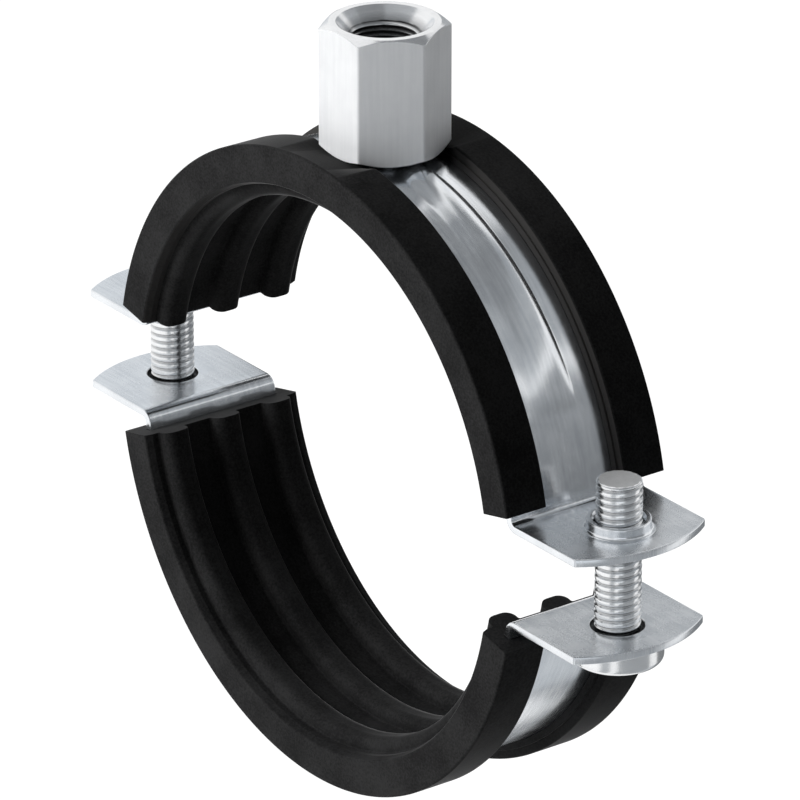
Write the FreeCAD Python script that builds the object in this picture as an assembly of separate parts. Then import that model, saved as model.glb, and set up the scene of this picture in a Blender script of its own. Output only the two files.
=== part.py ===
"""Two-part steel pipe clamp with a ribbed rubber lining and a welded connection nut.

The pipe runs along Y through the origin. Z points up to the nut, and X runs from screw to screw.
Each half is a bent steel strip with an outward flange at both ends, worn inside a rubber profile
that hooks over its edges. Two screws hang in the lower flanges and turn in the drawn, threaded
collars of the upper ones. All lengths are in millimetres and all angles in degrees.
"""
import FreeCAD, Part
import math
import os

from FreeCAD import Vector

# Rubber lining
SEAT_RADIUS = 36.5
RIB_COUNT = 3
RIB_PITCH = 8.5
RIB_HEIGHT = 2.0
RIB_WIDTH = 4.1
RIB_CROWN_RADIUS = 1.45
RIB_ROOT_RADIUS = 0.3
WEB_THICKNESS = 2.1
LINING_WIDTH = 25.2
SIDE_RELIEF = 0.4
LIP_RISE = 2.25
LIP_GAP = 12.5
LIP_STEP_WIDTH = 0.3
LIP_STEP_HEIGHT = 1.0
LINING_EDGE_RADIUS = 0.3
LINING_END_ANGLE = 12.3
LINING_CLEARANCE = 0.05

# Steel band with its flanges
BAND_WIDTH = 20.9
BAND_THICKNESS = 1.05
BEND_RADIUS = 0.8
FLANGE_GAP = 12.4
FLANGE_CORNER_RADIUS = 0.5
FLANGE_END_MARGIN = 4.3
FLANGE_END_BULGE = 3.4

# Stiffening bead of the upper band
BEAD_HEIGHT = 1.0
BEAD_CREST_WIDTH = 1.6
BEAD_BASE_WIDTH = 5.0
BEAD_CREST_RADIUS = 2.6
BEAD_INSIDE_RADIUS = 1.5
BEAD_RUN_OUT_ANGLE = 28.0
BEAD_SUNK_ANGLE = 3.0

# Screws, their holes and their threaded collars
SCREW_OFFSET = 7.9
SCREW_DIAMETER = 6.0
SCREW_LENGTH = 21.2
SCREW_TIP_CHAMFER = 0.45
HEAD_DIAMETER = 12.0
HEAD_HEIGHT = 3.6
HEAD_EDGE_RADIUS = 0.9
SLOT_LENGTH = 9.4
SLOT_WIDTH = 1.6
SLOT_DEPTH = 1.4
RECESS_WIDTH = 6.4
RECESS_DEPTH = 2.4
RECESS_WING = 1.3
SCREW_HOLE_DIAMETER = 7.0
THREAD_CLEARANCE = 0.06
COLLAR_DIAMETER = 8.3
COLLAR_HEIGHT = 1.5
COLLAR_ROOT_RADIUS = 0.5
COLLAR_RIM_RADIUS = 0.15
COLLAR_MOUTH_CHAMFER = 0.45
COLLAR_INLET_CHAMFER = 0.4

# Connection nut
NUT_ACROSS_FLATS = 15.0
NUT_HEIGHT = 17.4
NUT_BORE_DIAMETER = 8.5
NUT_COUNTERSINK_DIAMETER = 12.7
NUT_FACE_DIAMETER = 14.5
NUT_CHAMFER_ANGLE = 30.0
NUT_CLEARANCE = 0.05
NUT_FLOOR = 0.5
WELD_BOSS_DIAMETER = 9.0
NUT_DISH_DIAMETER = 15.4
NUT_DISH_ANGLE = 26.5
NUT_DISH_CLEARANCE = 0.1

# How far a cutting shape reaches past the face that it opens
OVERCUT = 1.0

# Places that follow from the sizes above
VALLEY_RADIUS = SEAT_RADIUS + RIB_HEIGHT
BAND_INNER_RADIUS = VALLEY_RADIUS + WEB_THICKNESS + LINING_CLEARANCE
BAND_OUTER_RADIUS = BAND_INNER_RADIUS + BAND_THICKNESS
LIP_RADIUS = BAND_OUTER_RADIUS + LIP_RISE
FLANGE_INNER_Z = FLANGE_GAP / 2
FLANGE_OUTER_Z = FLANGE_INNER_Z + BAND_THICKNESS
SCREW_X = BAND_OUTER_RADIUS + SCREW_OFFSET
SCREW_RADIUS = SCREW_DIAMETER / 2
NUT_SEAT_Z = BAND_OUTER_RADIUS + BEAD_HEIGHT + NUT_CLEARANCE
NUT_TOP_Z = NUT_SEAT_Z + NUT_HEIGHT

ORIGIN = Vector(0, 0, 0)
PIPE_AXIS = Vector(0, 1, 0)
UP = Vector(0, 0, 1)


def across_section(radius, y):
    """A point of a ring's section, drawn at +X: distance from the pipe axis and place along it."""
    return Vector(radius, y, 0)


def turned_section(radius, z):
    """A point of a turned part's section, drawn at +X: distance from its upright axis and height."""
    return Vector(radius, 0, z)


def rounded_face(corners, place):
    """Face inside a polygon whose corners (a, b, radius) are rounded by tangent arcs."""
    spots = [place(a, b) for a, b, radius in corners]
    edges = []
    ends = []
    for index, (a, b, radius) in enumerate(corners):
        corner = spots[index]
        before = (spots[index - 1] - corner).normalize()
        after = (spots[(index + 1) % len(spots)] - corner).normalize()
        half_angle = before.getAngle(after) / 2
        setback = radius / math.tan(half_angle)
        start = corner + before * setback
        finish = corner + after * setback
        if radius > 0:
            centre = corner + (before + after).normalize() * (radius / math.sin(half_angle))
            middle = centre + (corner - centre).normalize() * radius
            edges.append(Part.Arc(start, middle, finish).toShape())
        ends.append((start, finish))
    for index, (start, finish) in enumerate(ends):
        next_start = ends[(index + 1) % len(ends)][0]
        if finish.distanceToPoint(next_start) > 1e-6:
            edges.append(Part.makeLine(finish, next_start))
    return Part.Face(Part.Wire(Part.__sortEdges__(edges)))


def arc_edge(centre, radius, start_angle, end_angle):
    """Arc in the XZ plane, its angles counted from +X towards +Z."""
    angles = (start_angle, (start_angle + end_angle) / 2, end_angle)
    spots = [centre + Vector(math.cos(math.radians(angle)), 0, math.sin(math.radians(angle))) * radius
             for angle in angles]
    return Part.Arc(*spots).toShape()


def ring_sector(section, end_angle, centre=ORIGIN):
    """Sweep a section about the pipe axis over the top, stopping short of level on both sides."""
    start = section.copy()
    start.translate(centre)
    start.rotate(centre, PIPE_AXIS, -end_angle)
    return start.revolve(centre, PIPE_AXIS * -1, 180 - 2 * end_angle)


def turned(section, x=0.0):
    """Turn a section about the upright axis at x, y = 0."""
    solid = section.revolve(ORIGIN, UP, 360)
    solid.translate(Vector(x, 0, 0))
    return solid


def lower_copy(solid):
    """The same solid turned half way round the pipe, to the lower half of the clamp."""
    copy = solid.copy()
    copy.rotate(ORIGIN, PIPE_AXIS, 180)
    return copy


def bead_centre_z():
    """Height of the bead's own centre, so that its crest sinks into the band at the run-out angle."""
    drop = BAND_OUTER_RADIUS * (1 - math.sin(math.radians(BEAD_RUN_OUT_ANGLE)))
    return BEAD_HEIGHT * (BEAD_HEIGHT + 2 * BAND_OUTER_RADIUS) / (2 * (drop + BEAD_HEIGHT))


def bead_ring(depth, inset, corner_radius):
    """The bead as a ring sector about its own centre, whose ends run on inside the band; depth and
    inset offset it to the inner side."""
    centre = Vector(0, 0, bead_centre_z())
    crest = BAND_OUTER_RADIUS + BEAD_HEIGHT - centre.z - depth
    flank_slope = (BEAD_BASE_WIDTH - BEAD_CREST_WIDTH) / 2 / BEAD_HEIGHT
    root = crest - BEAD_HEIGHT - BAND_THICKNESS
    crest_half = BEAD_CREST_WIDTH / 2 - inset
    root_half = crest_half + flank_slope * (crest - root)
    section = rounded_face([
        (root, -root_half, 0), (crest, -crest_half, corner_radius),
        (crest, crest_half, corner_radius), (root, root_half, 0)], across_section)
    return ring_sector(section, BEAD_RUN_OUT_ANGLE - BEAD_SUNK_ANGLE, centre)


def strip_face():
    """Side view of a bent strip: an arch of sheet whose ends bend outwards into level flanges."""
    bend_z = FLANGE_OUTER_Z + BEND_RADIUS
    bend_reach = BAND_OUTER_RADIUS + BEND_RADIUS
    bend_x = math.sqrt(bend_reach ** 2 - bend_z ** 2)
    bend_angle = math.degrees(math.asin(bend_z / bend_reach))
    outside_bend = BEND_RADIUS + BAND_THICKNESS
    tip_x = SCREW_X + FLANGE_END_MARGIN + FLANGE_END_BULGE
    edges = [arc_edge(ORIGIN, BAND_OUTER_RADIUS, bend_angle, 180 - bend_angle),
             arc_edge(ORIGIN, BAND_INNER_RADIUS, bend_angle, 180 - bend_angle)]
    for side in (1, -1):
        centre = Vector(side * bend_x, 0, bend_z)
        towards_band = 180 + bend_angle if side > 0 else -bend_angle
        down = 270 if side > 0 else -90
        edges.append(arc_edge(centre, BEND_RADIUS, towards_band, down))
        edges.append(arc_edge(centre, outside_bend, towards_band, down))
        upper_bend, lower_bend = (Vector(side * bend_x, 0, z) for z in (FLANGE_OUTER_Z, FLANGE_INNER_Z))
        upper_tip, lower_tip = (Vector(side * tip_x, 0, z) for z in (FLANGE_OUTER_Z, FLANGE_INNER_Z))
        edges.append(Part.makeLine(upper_bend, upper_tip))
        edges.append(Part.makeLine(upper_tip, lower_tip))
        edges.append(Part.makeLine(lower_tip, lower_bend))
    return Part.Face(Part.Wire(Part.__sortEdges__(edges)))


def strip_plan():
    """Upright prism with the strip's outline seen from above: a rectangle with bowed ends."""
    corner_x = SCREW_X + FLANGE_END_MARGIN
    tip_x = corner_x + FLANGE_END_BULGE
    half = BAND_WIDTH / 2
    edges = []
    for side in (1, -1):
        corners = Vector(side * corner_x, -side * half, 0), Vector(side * corner_x, side * half, 0)
        edges.append(Part.Arc(corners[0], Vector(side * tip_x, 0, 0), corners[1]).toShape())
        edges.append(Part.makeLine(corners[1], Vector(-side * corner_x, side * half, 0)))
    prism = Part.Face(Part.Wire(Part.__sortEdges__(edges))).extrude(UP * LIP_RADIUS)
    uprights = [edge for edge in prism.Edges if abs(edge.tangentAt(edge.FirstParameter).z) > 0.99]
    return prism.makeFillet(FLANGE_CORNER_RADIUS, uprights)


def plain_strip():
    """Bent strip of the upper half, before its bead, collars or holes."""
    face = strip_face()
    face.translate(Vector(0, -BAND_WIDTH / 2, 0))
    return face.extrude(Vector(0, BAND_WIDTH, 0)).common(strip_plan())


def collar():
    """Drawn collar about the upright axis, standing on the upper face of a flange."""
    radius = COLLAR_DIAMETER / 2
    skirt = radius + 2 * COLLAR_ROOT_RADIUS
    below = FLANGE_OUTER_Z - BAND_THICKNESS / 2
    top = FLANGE_OUTER_Z + COLLAR_HEIGHT
    return turned(rounded_face([
        (0, below, 0), (skirt, below, 0), (skirt, FLANGE_OUTER_Z, 0),
        (radius, FLANGE_OUTER_Z, COLLAR_ROOT_RADIUS), (radius, top, COLLAR_RIM_RADIUS),
        (0, top, 0)], turned_section))


def collar_bore():
    """Space of the threaded hole: a plain bore with a chamfer at both mouths."""
    bore = SCREW_RADIUS + THREAD_CLEARANCE
    top = FLANGE_OUTER_Z + COLLAR_HEIGHT
    return turned(rounded_face([
        (0, FLANGE_INNER_Z - OVERCUT, 0),
        (bore + COLLAR_INLET_CHAMFER + OVERCUT, FLANGE_INNER_Z - OVERCUT, 0),
        (bore, FLANGE_INNER_Z + COLLAR_INLET_CHAMFER, 0),
        (bore, top - COLLAR_MOUTH_CHAMFER, 0),
        (bore + COLLAR_MOUTH_CHAMFER + OVERCUT, top + OVERCUT, 0),
        (0, top + OVERCUT, 0)], turned_section))


def upper_band():
    """Upper strip with its stiffening bead and a threaded collar in each flange."""
    flank_angle = math.atan(2 * BEAD_HEIGHT / (BEAD_BASE_WIDTH - BEAD_CREST_WIDTH))
    inset = BAND_THICKNESS * math.tan(flank_angle / 2)
    band = plain_strip().fuse(bead_ring(0, 0, BEAD_CREST_RADIUS))
    band = band.cut(bead_ring(BAND_THICKNESS, inset, BEAD_INSIDE_RADIUS))
    core = Part.makeCylinder(BAND_INNER_RADIUS, BAND_WIDTH, Vector(0, -BAND_WIDTH / 2, 0), PIPE_AXIS)
    band = band.cut(core)
    for x in (-SCREW_X, SCREW_X):
        neck = collar()
        neck.translate(Vector(x, 0, 0))
        hole = collar_bore()
        hole.translate(Vector(x, 0, 0))
        band = band.fuse(neck).cut(hole)
    return band.removeSplitter()


def lower_band():
    """Lower strip with a plain clearance hole in each flange."""
    band = plain_strip()
    for x in (-SCREW_X, SCREW_X):
        hole = Part.makeCylinder(SCREW_HOLE_DIAMETER / 2, FLANGE_OUTER_Z, Vector(x, 0, 0))
        band = band.cut(hole)
    return lower_copy(band)


def lining_section():
    """Rubber profile: ribs on the pipe side, a channel that holds the band, and two lips over it."""
    half = LINING_WIDTH / 2
    side_inner = VALLEY_RADIUS + SIDE_RELIEF
    first_rib = -(RIB_COUNT - 1) / 2 * RIB_PITCH
    foot = (half + abs(first_rib) + RIB_WIDTH / 2) / 2
    channel_floor = BAND_INNER_RADIUS - LINING_CLEARANCE
    channel_roof = BAND_OUTER_RADIUS + LINING_CLEARANCE
    channel_half = BAND_WIDTH / 2 + LINING_CLEARANCE
    lip_half = LIP_GAP / 2
    toe_half = lip_half - LIP_STEP_WIDTH
    toe_top = BAND_OUTER_RADIUS + LIP_STEP_HEIGHT
    corners = [(side_inner, -half, LINING_EDGE_RADIUS), (VALLEY_RADIUS, -foot, 0)]
    for index in range(RIB_COUNT):
        middle = first_rib + index * RIB_PITCH
        low, high = middle - RIB_WIDTH / 2, middle + RIB_WIDTH / 2
        corners += [(VALLEY_RADIUS, low, RIB_ROOT_RADIUS), (SEAT_RADIUS, low, RIB_CROWN_RADIUS),
                    (SEAT_RADIUS, high, RIB_CROWN_RADIUS), (VALLEY_RADIUS, high, RIB_ROOT_RADIUS)]
    corners += [(VALLEY_RADIUS, foot, 0), (side_inner, half, LINING_EDGE_RADIUS),
                (LIP_RADIUS, half, LINING_EDGE_RADIUS)]
    hook = [(LIP_RADIUS, lip_half, LINING_EDGE_RADIUS), (toe_top, lip_half, 0), (toe_top, toe_half, 0),
            (channel_roof, toe_half, 0), (channel_roof, channel_half, 0), (channel_floor, channel_half, 0)]
    corners += hook
    corners += [(radius, -y, rounding) for radius, y, rounding in reversed(hook)]
    corners.append((LIP_RADIUS, -half, LINING_EDGE_RADIUS))
    return rounded_face(corners, across_section)


def nut_dish():
    """Shallow dish round the foot of the nut, where the rubber lips tuck in under it."""
    floor = NUT_SEAT_Z - NUT_DISH_CLEARANCE
    top = LIP_RADIUS + OVERCUT
    radius = NUT_DISH_DIAMETER / 2
    spread = (top - floor) / math.tan(math.radians(NUT_DISH_ANGLE))
    return turned(rounded_face([
        (0, floor, 0), (radius, floor, 0), (radius + spread, top, 0), (0, top, 0)], turned_section))


def connection_nut():
    """Hexagon nut chamfered at both ends, its foot closed by the weld boss that follows the band."""
    corner_radius = NUT_ACROSS_FLATS / math.sqrt(3)
    face_radius = NUT_FACE_DIAMETER / 2
    chamfer = (corner_radius - face_radius) * math.tan(math.radians(NUT_CHAMFER_ANGLE))
    corners = [Vector(corner_radius * math.cos(math.radians(angle)),
                      corner_radius * math.sin(math.radians(angle)), NUT_SEAT_Z)
               for angle in range(0, 361, 60)]
    prism = Part.Face(Part.makePolygon(corners)).extrude(UP * NUT_HEIGHT)
    blank = turned(rounded_face([
        (0, NUT_SEAT_Z, 0), (face_radius, NUT_SEAT_Z, 0), (corner_radius, NUT_SEAT_Z + chamfer, 0),
        (corner_radius, NUT_TOP_Z - chamfer, 0), (face_radius, NUT_TOP_Z, 0), (0, NUT_TOP_Z, 0)],
        turned_section))
    boss_depth = NUT_CLEARANCE + BEAD_HEIGHT + BAND_THICKNESS
    boss = Part.makeCylinder(WELD_BOSS_DIAMETER / 2, boss_depth, Vector(0, 0, NUT_SEAT_Z - boss_depth))
    arch_radius = BAND_OUTER_RADIUS + NUT_CLEARANCE
    arch = Part.makeCylinder(arch_radius, BAND_WIDTH, Vector(0, -BAND_WIDTH / 2, 0), PIPE_AXIS)
    boss = boss.cut(arch).cut(bead_ring(-NUT_CLEARANCE, 0, BEAD_CREST_RADIUS))
    bore = NUT_BORE_DIAMETER / 2
    mouth = NUT_COUNTERSINK_DIAMETER / 2
    bore_floor = NUT_SEAT_Z + NUT_FLOOR
    thread_hole = turned(rounded_face([
        (0, bore_floor, 0), (bore, bore_floor, 0),
        (bore, NUT_TOP_Z - (mouth - bore), 0), (mouth + OVERCUT, NUT_TOP_Z + OVERCUT, 0),
        (0, NUT_TOP_Z + OVERCUT, 0)], turned_section))
    return prism.common(blank).fuse(boss).cut(thread_hole).removeSplitter()


def screw():
    """Pan head screw pointing up, its head under the lower flange, with a slot and a cross recess."""
    head_top = -FLANGE_OUTER_Z
    head_base = head_top - HEAD_HEIGHT
    tip = head_top + SCREW_LENGTH
    head_radius = HEAD_DIAMETER / 2
    body = turned(rounded_face([
        (0, head_base, 0), (head_radius, head_base, HEAD_EDGE_RADIUS), (head_radius, head_top, 0),
        (SCREW_RADIUS, head_top, 0), (SCREW_RADIUS, tip - SCREW_TIP_CHAMFER, 0),
        (SCREW_RADIUS - SCREW_TIP_CHAMFER, tip, 0), (0, tip, 0)], turned_section))
    slot = Part.makeBox(SLOT_LENGTH, SLOT_WIDTH, SLOT_DEPTH + OVERCUT,
                        Vector(-SLOT_LENGTH / 2, -SLOT_WIDTH / 2, head_base - OVERCUT))
    body = body.cut(slot)
    point = turned(rounded_face([
        (0, head_base - OVERCUT, 0), (RECESS_WIDTH / 2, head_base - OVERCUT, 0),
        (RECESS_WIDTH / 2, head_base, 0), (0, head_base + RECESS_DEPTH, 0)], turned_section))
    for turn in (0, 90):
        wing = Part.makeBox(RECESS_WIDTH, RECESS_WING, RECESS_DEPTH + OVERCUT,
                            Vector(-RECESS_WIDTH / 2, -RECESS_WING / 2, head_base - OVERCUT))
        wing.rotate(ORIGIN, UP, turn)
        body = body.cut(wing.common(point))
    return body


def build():
    """Every piece in its place, by name."""
    upper_lining = ring_sector(lining_section(), LINING_END_ANGLE)
    pieces = {
        "connection_nut": connection_nut(),
        "upper_band": upper_band(),
        "lower_band": lower_band(),
        "upper_lining": upper_lining.cut(nut_dish()),
        "lower_lining": lower_copy(upper_lining),
    }
    for name, x in (("screw_left", -SCREW_X), ("screw_right", SCREW_X)):
        pieces[name] = screw()
        pieces[name].translate(Vector(x, 0, 0))
    return pieces


os.makedirs("parts", exist_ok=True)
for name, shape in build().items():
    shape.exportStep("parts/" + name + ".step")
    box = shape.BoundBox
    print(name, "solids", len(shape.Solids), "valid", shape.isValid(), "volume", round(shape.Volume, 1),
          "x", round(box.XMin, 2), round(box.XMax, 2), "y", round(box.YMin, 2), round(box.YMax, 2),
          "z", round(box.ZMin, 2), round(box.ZMax, 2))
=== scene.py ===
"""Rubber lined pipe clamp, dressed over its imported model: zinc plated strips, nut and screws, black rubber.

The pipe runs along Y, Z points up through the nut and X from screw to screw, all in metres.
"""

import math

import bmesh
import bpy
import numpy as np
from mathutils import Matrix, Vector


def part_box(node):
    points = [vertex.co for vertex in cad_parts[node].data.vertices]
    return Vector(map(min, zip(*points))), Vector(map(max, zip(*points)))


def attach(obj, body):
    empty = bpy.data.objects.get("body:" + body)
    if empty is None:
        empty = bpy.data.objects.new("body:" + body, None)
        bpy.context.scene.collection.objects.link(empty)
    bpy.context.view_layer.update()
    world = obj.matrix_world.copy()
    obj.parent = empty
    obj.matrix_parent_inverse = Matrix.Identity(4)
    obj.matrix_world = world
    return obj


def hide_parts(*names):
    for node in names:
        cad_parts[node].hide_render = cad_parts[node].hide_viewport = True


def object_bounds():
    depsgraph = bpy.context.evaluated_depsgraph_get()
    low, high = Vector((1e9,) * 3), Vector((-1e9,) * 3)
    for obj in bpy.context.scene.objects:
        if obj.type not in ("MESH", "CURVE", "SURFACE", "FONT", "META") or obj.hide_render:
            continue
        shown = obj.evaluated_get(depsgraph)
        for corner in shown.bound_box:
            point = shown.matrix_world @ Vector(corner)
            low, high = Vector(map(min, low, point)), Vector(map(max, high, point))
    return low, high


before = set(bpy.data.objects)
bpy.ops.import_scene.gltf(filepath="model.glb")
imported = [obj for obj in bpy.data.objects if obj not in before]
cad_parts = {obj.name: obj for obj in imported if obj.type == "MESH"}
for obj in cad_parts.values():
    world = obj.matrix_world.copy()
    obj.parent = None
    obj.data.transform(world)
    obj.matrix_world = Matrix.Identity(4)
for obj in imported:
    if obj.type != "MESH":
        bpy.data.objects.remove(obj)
cad_low, cad_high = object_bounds()

# Upper strip: cold rolled steel strip about 21 x 1 mm, pressed with a stiffening bead along the arch,
# bent out into a level flange at each end and zinc plated. Each flange has a collar drawn up round a
# tapped hole, in which a side screw turns.
strip_low, strip_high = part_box("upper_band")
screw_low, screw_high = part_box("screw_right")
screw_x = (screw_low.x + screw_high.x) / 2
strip_half = strip_high.y
strip_thickness = 0.00105
flange_under = strip_low.z
flange_top = flange_under + strip_thickness
band_radius = 0.0417
bend_radius = 0.0008
bend_z = flange_top + bend_radius
bend_x = math.sqrt((band_radius + bend_radius) ** 2 - bend_z ** 2)
bend_angle = math.atan2(bend_z, bend_x)
edge_radius = 0.00016
edge_row = 0.0001
face_half = strip_half - edge_radius

bead_height = 0.001
bead_crown = 0.00032
bead_crown_half = 0.0062
bead_half = 0.002
bead_spread = 0.001
bead_rows_half = 0.0034
bead_foot_blend = 0.00005
bead_soft_blend = 0.0004
bead_soft_reach = 0.001
bead_run_out = math.radians(27)
bead_sink_share = 0.98

flange_bow = 0.0034
bow_row_angle = 0.006
flange_corner_radius = 0.0005
hole_ring = 0.0052

collar_radius = 0.00415
collar_height = 0.0015
collar_root = 0.0005
collar_rim = 0.0002
collar_bore = 0.00306
collar_mouth = 0.00045
collar_inlet = 0.0004
collar_arris = 0.0001
bore_arris = 0.00005

same_place = 0.00001
hole_shade_radius = 0.00352
hole_shade_fade = 0.00002
hole_shade_depth = 0.0001
nut_shadow_radius = 0.0063
nut_shadow_fade = 0.0006
flange_satin_fade = 0.002


def rounded(corners, radii, steps=5, support=0.00004):
    """Outline whose corners (a, b) give way to arcs that are tangent to both of their sides.

    Half the corner's angle gives how far the arc's ends lie from the corner, radius / tangent, and its
    centre, radius / sine along the bisector. An arc's points are its two end radii mixed by the sines
    of the turn that is left and the turn made, over the sine of the whole turn. One more point stands
    just outside each end of an arc.
    """
    corners = np.asarray(corners, float)
    radii = np.broadcast_to(np.asarray(radii, float), corners.shape[:-1])[..., None]
    before = np.roll(corners, 1, -2) - corners
    after = np.roll(corners, -1, -2) - corners
    before = before / np.linalg.norm(before, axis=-1, keepdims=True)
    after = after / np.linalg.norm(after, axis=-1, keepdims=True)
    half = np.arccos(np.clip((before * after).sum(-1, keepdims=True), -1, 1)) / 2
    bisector = before + after
    bisector = bisector / np.maximum(np.linalg.norm(bisector, axis=-1, keepdims=True), 1e-12)
    setback = radii / np.tan(half)
    centre = corners + bisector * radii / np.sin(half)
    first, last = corners + before * setback - centre, corners + after * setback - centre
    turn = (math.pi - 2 * half)[..., None, :]
    t = np.linspace(0, 1, steps + 1)[:, None]
    arc = np.sin((1 - t) * turn) * first[..., None, :] + np.sin(t * turn) * last[..., None, :]
    arc = arc / np.maximum(np.sin(turn), 1e-12)
    reach = setback + support * (radii > 0)
    points = np.concatenate([(corners + before * reach)[..., None, :], centre[..., None, :] + arc,
                             (corners + after * reach)[..., None, :]], -2)
    return points.reshape(*corners.shape[:-2], -1, 2)


def spaced(stops, steps):
    """Values that meet every stop, each stretch between two stops divided evenly into its own steps."""
    runs = [np.linspace(a, b, n, endpoint=False) for a, b, n in zip(stops[:-1], stops[1:], steps)]
    return np.concatenate([*runs, [stops[-1]]])


def placed(name, data):
    """Object at the origin that holds the data, linked to the scene."""
    made = bpy.data.objects.new(name, data)
    bpy.context.scene.collection.objects.link(made)
    return made


def quads(rows, columns):
    """Corner numbers of the quads between neighbouring points of a grid that is numbered row by row."""
    corner = (np.arange(rows - 1)[:, None] * columns + np.arange(columns - 1)).ravel()
    return np.stack([corner, corner + 1, corner + columns + 1, corner + columns], 1)


def piece(name, patches, caps=(), sharp_angle=35, weld=0.000001):
    """One closed mesh from patches, each a grid of points (rows, columns, 3), and from flat end caps.

    Neighbouring points of a grid make quads, equal points of all patches are welded, and the faces are
    turned outwards. The caps stay flat, and edges that turn by more than the sharp angle stay crisp.
    """
    points, faces, count = [], [], 0
    for patch in patches:
        faces += (quads(*patch.shape[:2]) + count).tolist()
        points.append(patch.reshape(-1, 3))
        count += len(points[-1])
    for cap in caps:
        faces.append(list(range(count, count + len(cap))))
        points.append(cap)
        count += len(cap)
    mesh = bpy.data.meshes.new(name)
    mesh.from_pydata(np.concatenate(points), [], faces)
    shell = bmesh.new()
    shell.from_mesh(mesh)
    bmesh.ops.remove_doubles(shell, verts=shell.verts, dist=weld)
    bmesh.ops.recalc_face_normals(shell, faces=shell.faces)
    for face in shell.faces:
        face.smooth = len(face.verts) <= 4
    shell.to_mesh(mesh)
    shell.free()
    mesh.set_sharp_from_angle(angle=math.radians(sharp_angle))
    return placed(name, mesh)


def bead_rise(angle, y):
    """Height of the bead over the arch. With the way from the top counted as a share of the way to the
    run-out, the bead falls as the square root of one less the square of that share, a blunt end, while
    its half width grows with it. Across the strip a wide, low parabola, the crown, carries a narrow
    ridge, a parabola on the near side and the steeper cube on the far side. The ridge meets the crown
    in a foot, where the larger of the two wins, blended over a short stretch, longer on the near side.
    At the very end the ridge sinks under the crown."""
    share = np.clip(np.abs(angle - math.pi / 2) / (math.pi / 2 - bead_run_out), 0, 1.05)
    fall = np.sqrt(np.clip(1 - share ** 2, 0, 1))
    crown = bead_crown * fall * np.clip(1 - (y / bead_crown_half) ** 2, 0, 1)
    half = bead_half + bead_spread * share
    across = np.abs(y) / half
    profile = 1 - np.where(y > 0, across ** 3, across ** 2)
    ridge = (bead_height - bead_crown) * fall * profile
    ridge = ridge - bead_height * np.clip(share - bead_sink_share, 0, 1)
    blend = bead_foot_blend + (bead_soft_blend - bead_foot_blend) * np.clip(-y / bead_soft_reach, 0, 1)
    return crown + np.maximum(ridge, 0) + np.clip(blend - np.abs(ridge), 0, None) ** 2 / (4 * blend)


def strip_edge():
    """Blanked edge of the strip, as how far in from the edge and how deep under the upper face: a
    quarter circle over each of its two arrises."""
    turn = np.linspace(0, math.pi / 2, 5)
    over, down = edge_radius * (1 - np.sin(turn)), edge_radius * (1 - np.cos(turn))
    return np.concatenate([over, down]), np.concatenate([down, strip_thickness - over])


def arch(across, arch_angles, rise):
    """Arch and both bends: the strip's section carried along its line from flange to flange.

    The line faces a direction that turns about each bend's centre, and about the pipe in between. A
    point lies at its depth behind the line, less what the bead lifts it. The section runs over the
    upper face, down the far edge, back along the under face and up the near edge.
    """
    bend = np.linspace(math.pi / 2, bend_angle, 11)
    facing = np.concatenate([bend[:-1], arch_angles, math.pi - bend[-2::-1]])
    direction = np.stack([np.cos(facing), np.sin(facing)], -1)
    place = np.arange(len(facing))
    on_arch = ((place >= len(bend) - 1) & (place <= len(facing) - len(bend)))[:, None]
    side = np.where(place < len(facing) / 2, 1.0, -1.0)
    bend_centre = np.stack([side * bend_x, np.full(len(facing), bend_z)], -1)
    line = np.where(on_arch, band_radius * direction, bend_centre - bend_radius * direction)
    inset, depth = strip_edge()
    y = np.concatenate([across, strip_half - inset[1:], across[-2::-1], inset[1:] - strip_half])
    under = np.concatenate([0 * across, depth[1:], 0 * across[1:] + strip_thickness, depth[-2::-1]])
    out = np.where(on_arch, rise(facing[:, None], y[None, :]), 0) - under[None, :]
    x = line[:, :1] + direction[:, :1] * out
    z = line[:, 1:] + direction[:, 1:] * out
    return np.stack([x, np.broadcast_to(y, x.shape), z], -1)


def flange_outline(inset):
    """Flange seen from above, drawn in by inset: from the bend along one side, round a small corner,
    over the bowed tip and back along the other side. The tip's arc is centred behind it, and its
    radius is the squares of half the width and of the bow, added, over twice the bow."""
    bow_radius = (strip_half ** 2 + flange_bow ** 2) / (2 * flange_bow)
    bow_x = strip_high.x - bow_radius
    corner_y = strip_half - flange_corner_radius
    corner_x = bow_x + math.sqrt((bow_radius - flange_corner_radius) ** 2 - corner_y ** 2)
    swing = math.atan2(corner_y, corner_x - bow_x)
    side_x = spaced([bend_x, corner_x - edge_row, corner_x], [14, 1])
    side = np.stack([side_x, 0 * side_x + strip_half - inset], -1)
    turn = np.linspace(math.pi / 2, swing, 6)[1:]
    corner = np.stack([corner_x + (flange_corner_radius - inset) * np.cos(turn),
                       corner_y + (flange_corner_radius - inset) * np.sin(turn)], -1)
    bow = spaced([swing, swing - bow_row_angle, bow_row_angle - swing, -swing], [1, 26, 1])[1:-1]
    tip = (bow_radius - inset) * np.stack([np.cos(bow), np.sin(bow)], -1) + (bow_x, 0)
    half = np.concatenate([side, corner])
    return np.concatenate([half, tip, half[::-1] * (1, -1)])


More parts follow.
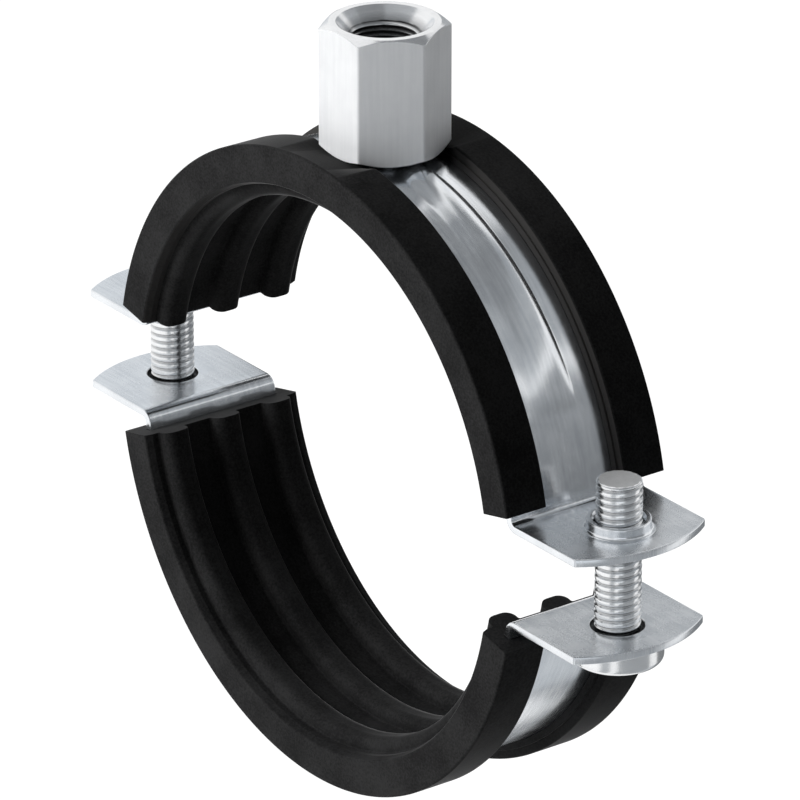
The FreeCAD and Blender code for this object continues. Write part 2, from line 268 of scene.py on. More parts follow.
def flange(across, hole):
    """Patches of the right flange: faces stretched straight from a ring round the hole to the outline,
    the blanked edge, and the hole's own profile (radius, height) turned about the screw's axis."""
    inset, depth = strip_edge()
    bend_side = np.stack([0 * across + bend_x, across], -1)
    rim = np.concatenate([flange_outline(edge_radius), bend_side[1:]])
    away = rim - (screw_x, 0)
    bearing = np.arctan2(away[:, 1], away[:, 0])
    ring = hole_ring * np.stack([np.cos(bearing), np.sin(bearing)], -1) + (screw_x, 0)
    share = np.array([0, 0.03, 0.2, 0.4, 0.6, 0.8, 0.97, 1])[:, None, None]
    plan = (1 - share) * ring + share * rim
    faces = [np.concatenate([plan, np.full(plan.shape[:2] + (1,), z)], -1)
             for z in (flange_top, flange_under)]
    wall = np.stack([flange_outline(i) for i in inset])
    heights = np.broadcast_to((flange_top - depth)[:, None, None], wall.shape[:2] + (1,))
    r, z = hole[:, :1], hole[:, 1:]
    bore = np.stack([screw_x + r * np.cos(bearing), r * np.sin(bearing), z + 0 * bearing], -1)
    return [*faces, np.concatenate([wall, heights], -1), bore]


def strip(name, across, arch_angles, rise, hole, turn_over=False):
    """A whole strip: the arch, the right flange and its mirror image on the left. Turned over, it is
    swung half way round the pipe."""
    right = flange(across, hole)
    patches = [arch(across, arch_angles, rise), *right, *(patch * (-1, 1, 1) for patch in right)]
    if turn_over:
        patches = [patch * (-1, 1, -1) for patch in patches]
    return piece(name, patches)


def vertices_of(mesh):
    """Places of a mesh's vertices, one row each."""
    spots = np.empty(len(mesh.vertices) * 3)
    mesh.vertices.foreach_get("co", spots)
    return spots.reshape(-1, 3)


def mark(mesh, name, values):
    """Stores a number, or a row of three, at each vertex for the finish to read."""
    kind, field = ("FLOAT_VECTOR", "vector") if values.ndim == 2 else ("FLOAT", "value")
    mesh.attributes.new(name, kind, "POINT").data.foreach_set(field, values.astype(np.float32).ravel())


def mark_strip(mesh):
    """Marks how far along and across the strip a vertex lies, so that the streaks can follow the
    rolling direction, where the plating is satin, and where it lies in shade.

    Along the arch the way is the radius times the angle from the top, and on a flange the way out.
    The flanges are satin outside their collars. The walls of the screw holes and the patch under the
    nut are in shade.
    """
    x, y, z = vertices_of(mesh).T
    out = np.abs(x) - bend_x
    run = np.where(out > 0, np.sign(x) * (band_radius * (math.pi / 2 - bend_angle) + out),
                   band_radius * np.arctan2(x, np.abs(z)))
    mark(mesh, "run", np.stack([run, y, 0 * y], -1))
    from_screw = np.hypot(np.abs(x) - screw_x, y)
    mark(mesh, "satin", np.clip(out / flange_satin_fade, 0, 1) * (from_screw > hole_ring - same_place))
    in_hole = np.clip((hole_shade_radius - from_screw) / hole_shade_fade, 0, 1)
    in_hole = in_hole * (np.abs(z) < flange_top - hole_shade_depth)
    under_nut = np.clip((nut_shadow_radius - np.hypot(x, y)) / nut_shadow_fade, 0, 1) * (z > 0)
    mark(mesh, "shade", np.maximum(in_hole, under_nut))


upper_across = spaced([-face_half, edge_row - face_half, -bead_crown_half, -bead_rows_half,
                       bead_rows_half, bead_crown_half, face_half - edge_row, face_half],
                      [1, 6, 10, 54, 10, 6, 1])
collar_top = flange_top + collar_height
collar_profile = rounded(
    [(hole_ring, flange_top), (collar_radius, flange_top), (collar_radius, collar_top),
     (collar_bore + collar_mouth, collar_top), (collar_bore, collar_top - collar_mouth),
     (collar_bore, flange_under + collar_inlet), (collar_bore + collar_inlet, flange_under),
     (hole_ring, flange_under)],
    [0, collar_root, collar_rim, collar_arris, bore_arris, bore_arris, collar_arris, 0])
upper_strip = strip("upper_strip", upper_across, spaced([bend_angle, math.pi - bend_angle], [210]),
                    bead_rise, collar_profile)


class Value:
    """A socket that carries a number; sums, differences and products of it add Math nodes."""

    def __init__(self, finish, socket):
        self.finish, self.socket = finish, socket

    def _math(self, operation, a, b):
        return self.finish.node("ShaderNodeMath", {"operation": operation}, {0: a, 1: b})

    def __add__(self, other):
        return self._math("ADD", self, other)

    def __sub__(self, other):
        return self._math("SUBTRACT", self, other)

    def __mul__(self, other):
        return self._math("MULTIPLY", self, other)

    def __rsub__(self, other):
        return self._math("SUBTRACT", other, self)

    __radd__, __rmul__ = __add__, __mul__


class Finish:
    """A node tree of a finish, a light or a backdrop, written as expressions."""

    def __init__(self, owner):
        owner.use_nodes = True
        self.owner, self.tree = owner, owner.node_tree
        self.tree.nodes.clear()

    def node(self, kind, settings=(), sockets=(), out=0):
        """Adds a node, sets its settings, then the values or links of its sockets, and gives an output."""
        made = self.tree.nodes.new(kind)
        for name, value in dict(settings).items():
            setattr(made, name, value)
        for name, value in dict(sockets).items():
            if isinstance(value, Value):
                self.tree.links.new(value.socket, made.inputs[name])
            else:
                made.inputs[name].default_value = value
        return Value(self, made.outputs[out]) if len(made.outputs) else None

    def marked(self, name):
        """The number that is marked on the mesh under a name, and nought where nothing is."""
        return self.node("ShaderNodeAttribute", {"attribute_name": name}, out=2)

    def ramp(self, value, low, high, to_low=0.0, to_high=1.0):
        """Stretches a value from low..high to to_low..to_high, held at both ends, with soft ends."""
        return self.node("ShaderNodeMapRange", {"interpolation_type": "SMOOTHSTEP"},
                         {0: value, 1: low, 2: high, 3: to_low, 4: to_high})

    def noise(self, place, scale, detail, roughness):
        """Cloudy pattern from 0 to 1 at a place, so many clouds to a metre."""
        return self.node("ShaderNodeTexNoise", {}, {"Vector": place, "Scale": scale, "Detail": detail,
                                                   "Roughness": roughness})

    def streaks(self, place, stretch, detail, roughness):
        """Cloudy pattern drawn out into streaks, with so many clouds to a metre in each direction."""
        spot = self.node("ShaderNodeMapping", {"vector_type": "POINT"}, {"Vector": place, "Scale": stretch})
        return self.noise(spot, 1.0, detail, roughness)

    def mixed(self, share, first, second):
        """Colour between two colours."""
        return self.node("ShaderNodeMix", {"data_type": "RGBA"}, {0: share, 6: first, 7: second}, out=2)

    def shown(self, surface):
        """Sends a shader to the tree's output, and gives the owner of the tree."""
        self.node("ShaderNodeOutputMaterial", {}, {"Surface": surface})
        return self.owner


zinc_smoother, zinc_rougher = 0.035, 0.045
zinc_shade = 0.1
satin_rougher = 0.08


def zinc(name, light, dark, roughness, drawn, place="object", metallic=1.0):
    """Bright zinc plating over drawn or rolled steel: fine streaks that follow the metal's own grain, a
    faint cloudiness of the plating, and a roughness that wanders with both.

    A dull plating scatters part of the light, so it counts as less than wholly metallic. Where it is
    marked satin it is rougher and scatters up to twice as much.
    """
    finish = Finish(bpy.data.materials.new(name))
    if place == "run":
        spot = finish.node("ShaderNodeAttribute", {"attribute_name": "run"}, out=1)
    else:
        spot = finish.node("ShaderNodeTexCoord", out=3)
    streaks = finish.streaks(spot, drawn, detail=4.0, roughness=0.6)
    clouds = finish.noise(spot, scale=260.0, detail=3.0, roughness=0.55)
    grain = finish.noise(spot, scale=5200.0, detail=2.0, roughness=0.6)
    colour = finish.mixed(finish.ramp(streaks * 0.55 + clouds * 0.45, 0.32, 0.68), dark, light)
    # Where shade is marked, the colour is painted darker, towards a tenth of the dark tone: painted shade in
    # the holes, bore, thread grooves and under the nut.
    dim = tuple(channel * zinc_shade for channel in dark[:3]) + (1,)
    satin = finish.marked("satin")
    rough = finish.ramp(clouds * 0.6 + grain * 0.4, 0.3, 0.7,
                        roughness - zinc_smoother, roughness + zinc_rougher)
    bumps = finish.node("ShaderNodeBump", {}, {"Strength": 0.45, "Distance": 0.000012,
                                               "Height": streaks * 0.7 + grain * 0.3})
    return finish.shown(finish.node("ShaderNodeBsdfPrincipled", {}, {
        "Base Color": finish.mixed(finish.marked("shade"), colour, dim),
        "Metallic": 1 - (1 - metallic) * (1 + satin),
        "Roughness": rough + satin * satin_rougher, "Normal": bumps}))


strip_zinc = zinc("strip_zinc", light=(0.87, 0.89, 0.91, 1), dark=(0.715, 0.74, 0.77, 1),
                  roughness=0.19, drawn=(110.0, 1900.0, 1.0), place="run")
mark_strip(upper_strip.data)
upper_strip.data.materials.append(strip_zinc)
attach(upper_strip, "upper_half")
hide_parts("upper_band")

# Lower strip: the same strip without bead or collars, turned half way round the pipe. Its flanges
# have plain punched holes in which the side screws hang by their heads.
punched_radius = 0.0035
punched_arris = 0.00014


def no_bead(angle, y):
    """Height of the lower strip's missing bead: nought at every angle and place across."""
    return 0 * angle * y


punched_profile = rounded([(hole_ring, flange_top), (punched_radius, flange_top),
                           (punched_radius, flange_under), (hole_ring, flange_under)],
                          [0, punched_arris, punched_arris, 0])
lower_across = spaced([-face_half, edge_row - face_half, face_half - edge_row, face_half], [1, 26, 1])
lower_strip = strip("lower_strip", lower_across, spaced([bend_angle, math.pi - bend_angle], [170]),
                    no_bead, punched_profile, turn_over=True)
mark_strip(lower_strip.data)
lower_strip.data.materials.append(strip_zinc)
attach(lower_strip, "lower_half")
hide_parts("lower_band")

# Rubber linings: black extruded rubber, cut to length and pressed over each strip's edges. Three round
# ribs grip the pipe, and a stepped lip on each side folds back over the strip.
lining_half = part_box("lower_lining")[1].y
lip_radius = -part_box("lower_lining")[0].z
seat_radius = 0.0365
rib_count = 3
rib_pitch = 0.0085
rib_height = 0.002
rib_half = 0.00205
rib_crown_radius = 0.00145
rib_root_radius = 0.0003
web_thickness = 0.0021
side_relief = 0.0004
lip_gap_half = 0.00625
lip_step_width = 0.0003
lip_step_height = 0.001
lining_edge_radius = 0.0003
cut_edge_radius = 0.00008
fit_gap = 0.00005
lining_end_angle = math.radians(12.3)

nut_seat = band_radius + bead_height + fit_gap
dish_radius = 0.0077
dish_slope = math.tan(math.radians(26.5))
dish_sink = 0.0001
dish_floor = nut_seat - dish_sink
dish_blend = 0.00012
dish_rows_angle = math.radians(16)

rubber_dark, rubber_light = (0.0115, 0.0115, 0.0118, 1), (0.031, 0.031, 0.0315, 1)
# Colours and places of the painted light on the upper lining (rib highlights, inner rim, lip walls) and of
# the painted shadow round the nut.
painted_light_colour, shadow_colour = (0.056, 0.054, 0.053, 1), (0.002, 0.002, 0.002, 1)
lip_shadow_radius = 0.0098
lip_shadow_fade = 0.0014
rib_highlight = 0.4
rib_highlight_place = 0.00135
rib_highlight_half = 0.0005
inner_rim_light = 0.45
inner_rim_light_margin = 0.0003
inner_rim_light_start = rib_pitch + rib_half + inner_rim_light_margin


def lining_section():
    """Section of the rubber as (distance from the pipe axis, place along it): ribs, web, sides and lips."""
    valley = seat_radius + rib_height
    side_inner = valley + side_relief
    outer_rib = (rib_count - 1) / 2 * rib_pitch
    foot = (lining_half + outer_rib + rib_half) / 2
    floor, roof = valley + web_thickness, band_radius + fit_gap
    channel_half = strip_half + fit_gap
    toe = lip_gap_half - lip_step_width
    step = band_radius + lip_step_height
    cut = cut_edge_radius
    corners = [(side_inner, -lining_half, lining_edge_radius), (valley, -foot, cut)]
    for middle in np.linspace(-outer_rib, outer_rib, rib_count):
        corners += [(valley, middle - rib_half, rib_root_radius),
                    (seat_radius, middle - rib_half, rib_crown_radius),
                    (seat_radius, middle + rib_half, rib_crown_radius),
                    (valley, middle + rib_half, rib_root_radius)]
    corners += [(valley, foot, cut), (side_inner, lining_half, lining_edge_radius),
                (lip_radius, lining_half, lining_edge_radius)]
    hook = [(lip_radius, lip_gap_half, lining_edge_radius), (step, lip_gap_half, cut), (step, toe, cut),
            (roof, toe, cut), (roof, channel_half, cut), (floor, channel_half, cut)]
    corners += hook + [(r, -y, radius) for r, y, radius in reversed(hook)]
    corners.append((lip_radius, -lining_half, lining_edge_radius))
    corners = np.array(corners)
    return rounded(corners[:, :2], corners[:, 2], steps=6)


def lining(name, angles, dished, turn_over=False):
    """The section swept about the pipe through the angles, its first point repeated to close it.

    Under the nut the lips are pressed down to a dish, a level floor and then a cone: a point sinks by
    its height over the dish, and within the blend on either side by a parabola of that height.
    """
    section = lining_section()
    loop = np.concatenate([section, section[:1]])
    r, y = loop[None, :, 0], loop[None, :, 1]
    x, z = r * np.cos(angles[:, None]), r * np.sin(angles[:, None])
    y = np.broadcast_to(y, x.shape)
    if dished:
        reach = np.hypot(x, y) - dish_radius
        over = z - (dish_floor + np.maximum(reach, 0) * dish_slope)
        pressed = np.maximum(over, 0) + np.clip(dish_blend - np.abs(over), 0, None) ** 2 / (4 * dish_blend)
        z = np.where(r > band_radius + 2 * fit_gap, z - pressed, z)
    swept = np.stack([x, y, z], -1)
    if turn_over:
        swept = swept * (-1, 1, -1)
    return piece(name, [swept], [swept[0, :-1], swept[-1, :-1]], sharp_angle=40)


def mark_lining(mesh):
    """Marks painted shadow on the lips round the nut, and painted light on the upper lining alone: a
    painted highlight on the far side of each rib's crown, a lighter inner rim beyond the near rib, and
    light painted on the walls between the lips, as if thrown back from the strip."""
    x, y, z = vertices_of(mesh).T
    from_nut, from_pipe = np.hypot(x, y), np.hypot(x, z)
    mark(mesh, "shade", np.clip((lip_shadow_radius - from_nut) / lip_shadow_fade, 0, 1) * (z > 0))
    rib_middle = rib_pitch * np.clip(np.round(y / rib_pitch), -1, 1)
    rib_edge = rib_highlight * np.clip(1 - np.abs(y - rib_middle - rib_highlight_place) / rib_highlight_half, 0, 1)
    is_inner = from_pipe < seat_radius + rib_height + side_relief + same_place
    inside = np.maximum(rib_edge, inner_rim_light * (y < -inner_rim_light_start)) * is_inner
    on_wall = (np.abs(y) < lip_gap_half + 2 * same_place) & (from_pipe > band_radius)
    mark(mesh, "painted_light", np.maximum(inside, on_wall) * (z > 0))


def rubber(name):
    """Matt black rubber: a fine grain, faint lines along the extrusion, and a dusty bloom that lightens
    it in soft patches and dulls its sheen. It is greyer where painted light is marked, and darkest in painted
    shadow."""
    finish = Finish(bpy.data.materials.new(name))
    spot = finish.node("ShaderNodeTexCoord", out=3)
    bloom = finish.noise(spot, scale=140.0, detail=4.0, roughness=0.6)
    grain = finish.noise(spot, scale=3000.0, detail=3.0, roughness=0.7)
    lines = finish.streaks(spot, stretch=(60.0, 3800.0, 60.0), detail=2.0, roughness=0.5)
    share = finish.ramp(bloom * 0.45 + grain * 0.55, 0.34, 0.66)
    bumps = finish.node("ShaderNodeBump", {}, {"Strength": 0.5, "Distance": 0.00003,
                                               "Height": grain * 0.6 + lines * 0.4})
    colour = finish.mixed(share, rubber_dark, rubber_light)
    # Painted light, then painted shadow, mixed into the colour where they are marked.
    colour = finish.mixed(finish.marked("painted_light"), colour, painted_light_colour)
    colour = finish.mixed(finish.marked("shade"), colour, shadow_colour)
    return finish.shown(finish.node("ShaderNodeBsdfPrincipled", {}, {
        "Base Color": colour, "Roughness": finish.ramp(bloom * 0.5 + grain * 0.5, 0.3, 0.7, 0.42, 0.52),
        "Specular IOR Level": 0.012, "Sheen Weight": 0.3, "Sheen Roughness": 0.25, "Normal": bumps}))


lining_rubber = rubber("lining_rubber")
upper_lining = lining("upper_rubber", spaced(
    [lining_end_angle, math.pi / 2 - dish_rows_angle, math.pi / 2 + dish_rows_angle,
     math.pi - lining_end_angle], [42, 128, 42]), dished=True)
lower_lining = lining("lower_rubber", spaced([lining_end_angle, math.pi - lining_end_angle], [120]),
                      dished=False, turn_over=True)
for rubber_object, body, node in ((upper_lining, "upper_half", "upper_lining"),
                                  (lower_lining, "lower_half", "lower_lining")):
    mark_lining(rubber_object.data)
    rubber_object.data.materials.append(lining_rubber)
    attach(rubber_object, body)
    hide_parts(node)

# Connection nut: a length of 15 mm hexagon bar, chamfered at both ends, tapped M10 with a wide
# countersink, zinc plated and welded by its foot to the crest of the band.
nut_flats_radius = 0.0075
nut_corner_radius = nut_flats_radius / math.cos(math.radians(30))
nut_edge_radius = 0.0005
nut_face_radius = 0.00725
nut_chamfer = math.tan(math.radians(30))
nut_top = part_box("connection_nut")[1].z
nut_arris = 0.00012
nut_flat_steps = 12
boss_radius = 0.0045
foot_thickness = 0.0005
bore_floor = nut_seat + foot_thickness
bore_radius = 0.00425
bore_major = 0.0047
bore_pitch = 0.00075
mouth_radius = 0.00635
cone_ring_radius = 0.0056
cone_foot_radius = bore_major + 0.00015
cone_foot = nut_top - mouth_radius + cone_foot_radius

bore_shade_depth = 0.012
cone_shade = 0.6
cone_shade_depth = 0.003
nut_satin_height = 0.008
nut_margin = 0.0001


def hexagon_outline():
    """Hexagon with rounded corners, each flat divided evenly; returns bearing and radius of its points."""
    corner_bearing = np.radians(np.arange(0, 360, 60))
    corners = nut_corner_radius * np.stack([np.cos(corner_bearing), np.sin(corner_bearing)], -1)
    outline = rounded(corners, nut_edge_radius, steps=6)
    following = np.roll(outline, -1, 0)
    is_flat = np.linalg.norm(following - outline, axis=1) > nut_flats_radius / 2
    parts = np.where(is_flat, nut_flat_steps, 1)
    start, end = np.repeat(outline, parts, 0), np.repeat(following, parts, 0)
    share = np.concatenate([np.arange(n) / n for n in parts])[:, None]
    outline = start + (end - start) * share
    outline = np.concatenate([outline, outline[:1]])
    return np.unwrap(np.arctan2(outline[:, 1], outline[:, 0])), np.hypot(outline[:, 0], outline[:, 1])


def thread(bearing, low, high, pitch, radius_at, steps=12):
    """Helical surface: points climb one pitch in each turn, held between low and high, with the radius
    that the thread's profile has at that share of the pitch."""
    first = math.floor(low / pitch * steps) - steps
    last = math.ceil(high / pitch * steps) + steps
    lead = bearing / (2 * math.pi)
    z = np.clip(pitch * (np.arange(first, last + 1)[:, None] / steps + lead[None, :]), low, high)
    r = radius_at((z / pitch - lead[None, :]) % 1, z)
    return np.stack([r * np.cos(bearing), r * np.sin(bearing), z], -1)


def turned(bearing, r, z):
    """Rows of radius and height, one pair for each row and bearing, turned about the upright axis."""
    r, z, bearing = np.broadcast_arrays(r, z, bearing)
    return np.stack([r * np.cos(bearing), r * np.sin(bearing), z], -1)


def tapped(share, z):
    """Radius of the tapped wall: crests at the drilled bore, V grooves with round roots between them,
    faded out at the floor, and cut away by the 45 degree countersink. A groove's depth is a half less
    a little over half a cosine of the share of the pitch, held between nought and one."""
    groove = np.clip(0.5 - 0.56 * np.cos(2 * math.pi * share), 0, 1)
    fade = np.clip((z - bore_floor) / bore_pitch, 0, 1)
    cone = mouth_radius - (nut_top - z)
    return np.maximum(bore_radius + (bore_major - bore_radius) * groove * fade, cone)


def mark_nut(mesh):
    """Marks the shade in the bore, which deepens with the groove and on the way down, and on the foot of
    the countersink. The flat towards -Y, which the weld has dulled, grows satin towards its foot."""
    x, y, z = vertices_of(mesh).T
    from_axis = np.hypot(x, y)
    groove_depth = np.clip((from_axis - bore_radius) / (bore_major - bore_radius), 0, 1)
    bore_depth = np.clip((cone_foot - z) / bore_shade_depth, 0, 1)
    bore_shade = np.clip(0.05 + 0.9 * groove_depth + 0.5 * bore_depth, 0, 1)
    down_cone = np.clip((cone_ring_radius - from_axis) / (cone_ring_radius - bore_major), 0, 1)
    outside = cone_shade * down_cone * (z > nut_top - cone_shade_depth)
    shade = np.where(from_axis < bore_major + same_place, bore_shade, outside)
    mark(mesh, "shade", np.where(z < bore_floor - same_place, 0, shade))
    down_flat = np.clip((nut_seat + nut_satin_height - z) / nut_satin_height, 0, 1)
    mark(mesh, "satin", down_flat * (y < nut_margin - nut_flats_radius))


def faces_of(mesh, field):
    """A row of three for each face of a mesh: its normal or its center."""
    rows = np.empty(len(mesh.polygons) * 3)
    mesh.polygons.foreach_get(field, rows)
    return rows.reshape(-1, 3)


nut_bearing, corner_reach = hexagon_outline()
level = 0 * corner_reach
chamfer_fall = (corner_reach - nut_face_radius) * nut_chamfer
outer_corners = np.stack([np.stack([level + r, level + z], -1) for r, z in (
    (boss_radius, nut_seat), (nut_face_radius, nut_seat), (corner_reach, nut_seat + chamfer_fall),
    (corner_reach, nut_top - chamfer_fall), (nut_face_radius, nut_top), (mouth_radius, nut_top),
    (cone_ring_radius, nut_top - mouth_radius + cone_ring_radius), (cone_foot_radius, cone_foot))], 1)
outer = rounded(outer_corners, [0, *[nut_arris] * 5, 0, 0], steps=4)
outer_wall = turned(nut_bearing, outer[..., 0].T, outer[..., 1].T)
tapped_wall = thread(nut_bearing, bore_floor, cone_foot, bore_pitch, tapped)
floor_rings = np.array([bore_radius, bore_radius / 2, 0])[:, None]
bore_bottom = turned(nut_bearing, floor_rings + level, bore_floor + 0 * floor_rings)
boss_rings = np.array([boss_radius, boss_radius * 0.999, 0.0035, 0.0023, 0.0012, 0])[:, None] + level
boss_angle = np.arccos(boss_rings * np.cos(nut_bearing) / band_radius)
boss_rise = bead_rise(boss_angle, boss_rings * np.sin(nut_bearing))
boss_under = np.minimum(band_radius * np.sin(boss_angle) + boss_rise + fit_gap, nut_seat)
boss_face = turned(nut_bearing, boss_rings, boss_under)
boss_wall = turned(nut_bearing, np.full((2, 1), boss_radius), np.stack([level + nut_seat, boss_under[0]]))
nut = piece("hexagon_nut", [outer_wall, tapped_wall, bore_bottom, boss_wall, boss_face], sharp_angle=40)
mark_nut(nut.data)
nut.data.materials.append(zinc("nut_zinc", light=(0.89, 0.90, 0.91, 1), dark=(0.82, 0.83, 0.845, 1),
                               roughness=0.5, drawn=(1700.0, 1700.0, 90.0), metallic=0.5))
nut.data.materials.append(zinc("turned_zinc", light=(0.88, 0.89, 0.90, 1), dark=(0.80, 0.81, 0.825, 1),
                               roughness=0.17, drawn=(500.0, 500.0, 3000.0), metallic=0.85))
nut_normal, nut_middle = faces_of(nut.data, "normal"), faces_of(nut.data, "center")
is_in_bore = np.hypot(nut_middle[:, 0], nut_middle[:, 1]) < bore_major + nut_margin
is_turned = (np.abs(nut_normal[:, 2]) > 0.2) | is_in_bore
nut.data.polygons.foreach_set("material_index", is_turned.astype(np.int32))
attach(nut, "upper_half")
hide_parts("connection_nut")

# Side screws: M6 pan head screws of cold headed, thread rolled steel, zinc plated. They come up through
# the lower flange and turn in the collar of the upper one; the head has a slot over a cross recess.
screw_radius = 0.003
screw_root_radius = 0.00272
screw_neck_radius = (screw_radius + screw_root_radius) / 2
screw_neck_length = 0.0004
screw_pitch = 0.001
screw_tip = screw_high.z
screw_tip_radius = 0.0026
screw_tip_round = 0.0004
head_low = screw_low.z
head_high = -flange_top
head_radius = 0.006
head_round = 0.0009
head_arris = 0.00015
slot_reach = 0.0047
slot_half = 0.0008
slot_depth = 0.0014
recess_reach = 0.0031
recess_half = 0.00065
recess_depth = 0.0024
cutter_overhang = 0.001

screw_groove_shade = 0.45
neck_shade = 0.9
neck_shade_radius = 0.004
neck_shade_margin = 0.0002


def tip_rounding(z):
    """Radius of the quarter circle that joins the tip's face with the shank."""
    down = np.clip(screw_tip - z, 0, screw_tip_round)
    return np.where(z < screw_tip - screw_tip_round, screw_radius,
                    screw_tip_radius + np.sqrt(down * (2 * screw_tip_round - down)))


def rolled(share, z):
    """Radius of the rolled thread: broad, faintly round crests and narrow grooves, faded out under the
    head and taken back by a quarter circle at the tip. A groove opens where the cosine of the share of
    the pitch falls below a low bound, and the rest of that cosine rounds the crests."""
    wave = np.cos(2 * math.pi * share)
    groove = np.clip(0.08 * (1 - wave) + np.clip(-0.15 - wave, 0, None), 0, 1)
    fade = np.clip((z - head_high - screw_neck_length) / screw_pitch, 0, 1)
    wall = screw_radius - (screw_radius - screw_root_radius) * (groove * fade + 0.5 * (1 - fade))
    return np.minimum(wall, tip_rounding(z))


def recess_cutters():
    """Slot across the head with a cross recess in it: a bar, and a four-winged star that tapers inwards
    from a little more than the recess's reach and half width to a part of them."""
    under = head_low - cutter_overhang
    bar = np.array([(x, y, z) for z in (under, head_low + slot_depth)
                    for x, y in ((-slot_reach, -slot_half), (slot_reach, -slot_half),
                                 (slot_reach, slot_half), (-slot_reach, slot_half))])
    wing = np.array([(1, -1), (1, 1)])
    star = []
    for z, reach, half in ((under, recess_reach * 1.25, recess_half * 1.15),
                           (head_low + recess_depth, recess_reach * 0.32, recess_half * 0.75)):
        for quarter in range(4):
            c, s = math.cos(quarter * math.pi / 2), math.sin(quarter * math.pi / 2)
            for a, b in [*(wing * (reach, half)), (half, half)]:
                star.append((a * c - b * s, a * s + b * c, z))
    cutters = []
    for points, sides in ((bar, 4), (np.array(star), 12)):
        mesh = bpy.data.meshes.new("recess")
        walls = [[i, (i + 1) % sides, sides + (i + 1) % sides, sides + i] for i in range(sides)]
        mesh.from_pydata(points, [], [list(range(sides))[::-1], list(range(sides, 2 * sides)), *walls])
        cutters.append(placed("recess", mesh))
    return cutters


def mark_screw(mesh):
    """Marks the shade in the thread, which deepens with the groove, and on the neck under the head. The
    tip's face is bright."""
    x, y, z = vertices_of(mesh).T
    from_axis = np.hypot(x, y)
    sunk = np.clip((tip_rounding(z) - from_axis) / (screw_radius - screw_root_radius), 0, 1)
    on_neck = (from_axis < neck_shade_radius) & (z > head_high - neck_shade_margin)
    shade = np.where(z > head_high + neck_shade_margin, sunk * screw_groove_shade, neck_shade * on_neck)
    mark(mesh, "shade", np.where(z > screw_tip - same_place, 0, shade))


screw_bearing = np.linspace(0, 2 * math.pi, 97)
shank = thread(screw_bearing, head_high, screw_tip, screw_pitch, rolled, steps=16)
tip_rings = np.array([0, 0.0012, screw_tip_radius - edge_row, screw_tip_radius])[:, None]
tip_face = turned(screw_bearing, tip_rings, screw_tip)
head_section = rounded([(screw_neck_radius, head_high), (head_radius, head_high),
                        (head_radius, head_low), (0, head_low)], [0, head_arris, head_round, 0], steps=8)
head = turned(screw_bearing, head_section[:, :1], head_section[:, 1:])
blank = piece("screw_blank", [shank, tip_face, head], sharp_angle=40)
cutters = recess_cutters()
for cutter in cutters:
    cut = blank.modifiers.new("recess", "BOOLEAN")
    cut.operation, cut.solver, cut.object = "DIFFERENCE", "EXACT", cutter
screw_mesh = bpy.data.meshes.new_from_object(blank.evaluated_get(bpy.context.evaluated_depsgraph_get()))
for spent in (*cutters, blank):
    bpy.data.objects.remove(spent)
screw_mesh.set_sharp_from_angle(angle=math.radians(40))
screw_mesh.materials.clear()
mark_screw(screw_mesh)
screw_mesh.materials.append(zinc("screw_zinc", light=(0.86, 0.87, 0.88, 1), dark=(0.78, 0.79, 0.80, 1),
                                 roughness=0.21, drawn=(700.0, 700.0, 1500.0)))
screw_mesh.materials.append(zinc("cut_end_zinc", light=(0.62, 0.625, 0.63, 1), dark=(0.52, 0.525, 0.53, 1),
                                 roughness=0.5, drawn=(900.0, 900.0, 900.0), metallic=0.6))
is_tip = faces_of(screw_mesh, "center")[:, 2] > screw_tip - same_place
screw_mesh.polygons.foreach_set("material_index", is_tip.astype(np.int32))
for side, at in (("left", -screw_x), ("right", screw_x)):
    mesh = screw_mesh.copy()
    mesh.transform(Matrix.Translation((at, 0, 0)))
    screw = placed("pan_head_screw_" + side, mesh)
    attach(screw, "screw_" + side + "_body")
    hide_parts("screw_" + side)

# Studio: a pale floor well under the hanging clamp, a white room, two soft boxes and grey reflector cards.
# The metal mirrors the room and the cards, and the camera looks down on the right front of the clamp.
floor_z = cad_low.z - 0.12
floor_reach = 12.0
floor_grey = 0.86
floor_white = 1.22
floor_white_share = 0.8
room_white = 1.02
room_ambient = 0.05

camera_azimuth, camera_elevation = math.radians(53.7), math.radians(23.7)
camera_target = Vector((0.00323, 0, 0.00832))
camera_distance = 0.841
camera_lens = 289.6


def seen_directly(finish):
    """1 where the picture, a reflection or a clear material looks at the surface, and 0 for its light."""
    camera = finish.node("ShaderNodeLightPath", out=0)
    glossy = finish.node("ShaderNodeLightPath", out=3)
    clear = finish.node("ShaderNodeLightPath", out=6)
    return finish.ramp(camera + glossy + clear, 0.0, 1.0)


floor_mesh = bpy.data.meshes.new("floor")
floor_mesh.from_pydata([(floor_reach * x, floor_reach * y, floor_z)
                        for x, y in ((-1, -1), (1, -1), (1, 1), (-1, 1))], [], [(0, 1, 2, 3)])
floor_finish = Finish(bpy.data.materials.new("pale_floor"))
lit = floor_finish.node("ShaderNodeBsdfDiffuse", {}, {"Color": (floor_grey, floor_grey, floor_grey, 1)})
white = floor_finish.node("ShaderNodeEmission", {}, {"Color": (1, 1, 1, 1), "Strength": floor_white})
floor_mesh.materials.append(floor_finish.shown(floor_finish.node("ShaderNodeMixShader", {}, {
    0: seen_directly(floor_finish) * floor_white_share, 1: lit, 2: white})))
floor = placed("floor", floor_mesh)

room = bpy.data.worlds.new("room")
bpy.context.scene.world = room
room_finish = Finish(room)
room_strength = seen_directly(room_finish) * (room_white - room_ambient) + room_ambient
room_light = room_finish.node("ShaderNodeBackground", {}, {"Color": (1, 1, 1, 1),
                                                           "Strength": room_strength})
room_finish.node("ShaderNodeOutputWorld", {}, {"Surface": room_light})

back = Vector((math.sin(camera_azimuth) * math.cos(camera_elevation),
               -math.cos(camera_azimuth) * math.cos(camera_elevation), math.sin(camera_elevation)))
right = Vector((math.cos(camera_azimuth), math.sin(camera_azimuth), 0))
lens = bpy.data.cameras.new("camera")
lens.sensor_width, lens.lens = 36.0, camera_lens
camera = placed("camera", lens)
camera.matrix_world = Matrix((right, back.cross(right), back)).transposed().to_4x4()
camera.location = camera_target + back * camera_distance
bpy.context.scene.camera = camera


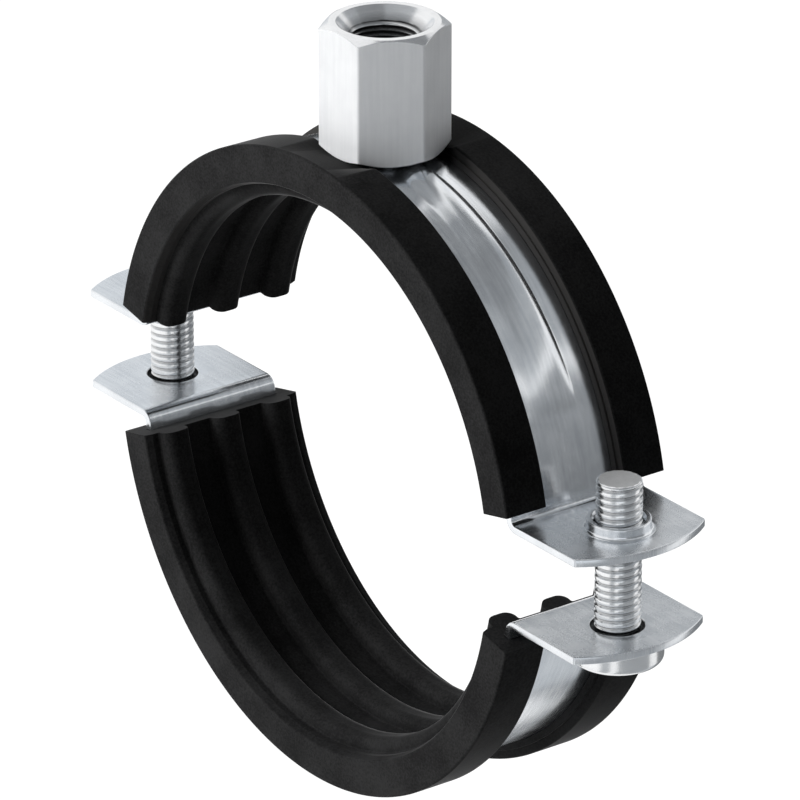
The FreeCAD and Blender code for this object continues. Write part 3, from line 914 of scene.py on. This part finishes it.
def towards(bearing, elevation):
    """Direction from the clamp, of length one; the bearing counts in degrees from the camera towards the
    camera's right, and the elevation from the level."""
    turn, rise = math.atan2(back.y, back.x) + np.radians(bearing), np.radians(elevation)
    return np.stack([np.cos(turn) * np.cos(rise), np.sin(turn) * np.cos(rise), np.sin(rise) + 0 * turn], -1)


def soft_box(name, bearing, elevation, distance, size, power):
    """Square area lamp that faces the clamp. Metal mirrors the room and the cards instead of it."""
    way = Vector(towards(bearing, elevation))
    lamp = bpy.data.lights.new(name, "AREA")
    lamp.shape, lamp.size, lamp.energy = "SQUARE", size, power
    box = placed(name, lamp)
    box.location = way * distance
    box.rotation_euler = way.to_track_quat("Z", "Y").to_euler()
    box.visible_glossy = False


def card(name, bearings, elevations, greys, card_distance=0.4):
    """Curved card round the clamp that only its metal mirrors: a patch of a sphere, drawn in where it
    would pass through the floor, whose grey runs from its lower edge to its upper edge."""
    columns, rows = 24, 12
    bearing, elevation = np.meshgrid(np.linspace(*bearings, columns), np.linspace(*elevations, rows))
    way = towards(bearing, elevation)
    distance = np.minimum(card_distance, 0.97 * floor_z / np.minimum(way[..., 2], -0.01))
    mesh = bpy.data.meshes.new(name)
    mesh.from_pydata((way * distance[..., None]).reshape(-1, 3), [], quads(rows, columns).tolist())
    mark(mesh, "grey", np.repeat(np.linspace(*greys, rows), columns))
    finish = Finish(bpy.data.materials.new(name))
    glow = finish.node("ShaderNodeEmission", {}, {"Color": (0.96, 1.0, 1.04, 1),
                                                  "Strength": finish.marked("grey")})
    mesh.materials.append(finish.shown(glow))
    board = placed(name, mesh)
    board.visible_camera = board.visible_diffuse = board.visible_shadow = False


soft_box("key_box", bearing=-80, elevation=26, distance=0.9, size=0.7, power=9.0)
soft_box("back_box", bearing=165, elevation=40, distance=0.9, size=0.7, power=2.0)

# Each card by its bearings, elevations and greys, and by its distance where it stands near the clamp.
card("right_low_card", (6, 78), (-60, -6), (0.42, 0.34))
card("right_card", (0, 86), (-6, 29), (0.2, 0.34))
card("right_high_card", (55, 134), (35, 54), (0.44, 0.40))
card("top_card", (96, 158), (54, 80), (0.24, 0.30))
card("zenith_card", (-180, 180), (80, 90), (0.3, 0.3))
card("near_high_card", (-104, 2), (42, 80), (0.42, 0.40))
card("middle_high_card", (2, 55), (42, 54), (0.36, 0.32))
card("right_top_card", (2, 96), (54, 80), (0.32, 0.22))
card("lower_card", (78, 103), (-60, -30), (0.62, 0.62))
card("far_low_card", (103, 172), (-60, -4), (0.25, 0.22))
card("near_card", (-33, -11), (-60, 5), (0.5, 0.5))
card("bead_card", (-20, 55), (29, 42), (0.72, 0.55))
card("flange_card", (165, 174), (12, 38), (0.42, 0.32), 0.16)
card("flange_tip_card", (118, 165), (12, 38), (0.46, 0.43), 0.16)
card("nut_card", (0, 26), (-12, 12), (0.95, 0.95), 0.16)
card("left_flange_card", (-173, -148), (6, 34), (0.8, 0.72), 0.16)
card("behind_card", (175, 187), (0, 28), (0.08, 0.08), 0.16)
card("crest_card", (174, 204), (20, 46), (0.05, 0.05), 0.075)

bpy.context.scene.view_settings.view_transform = "Standard"
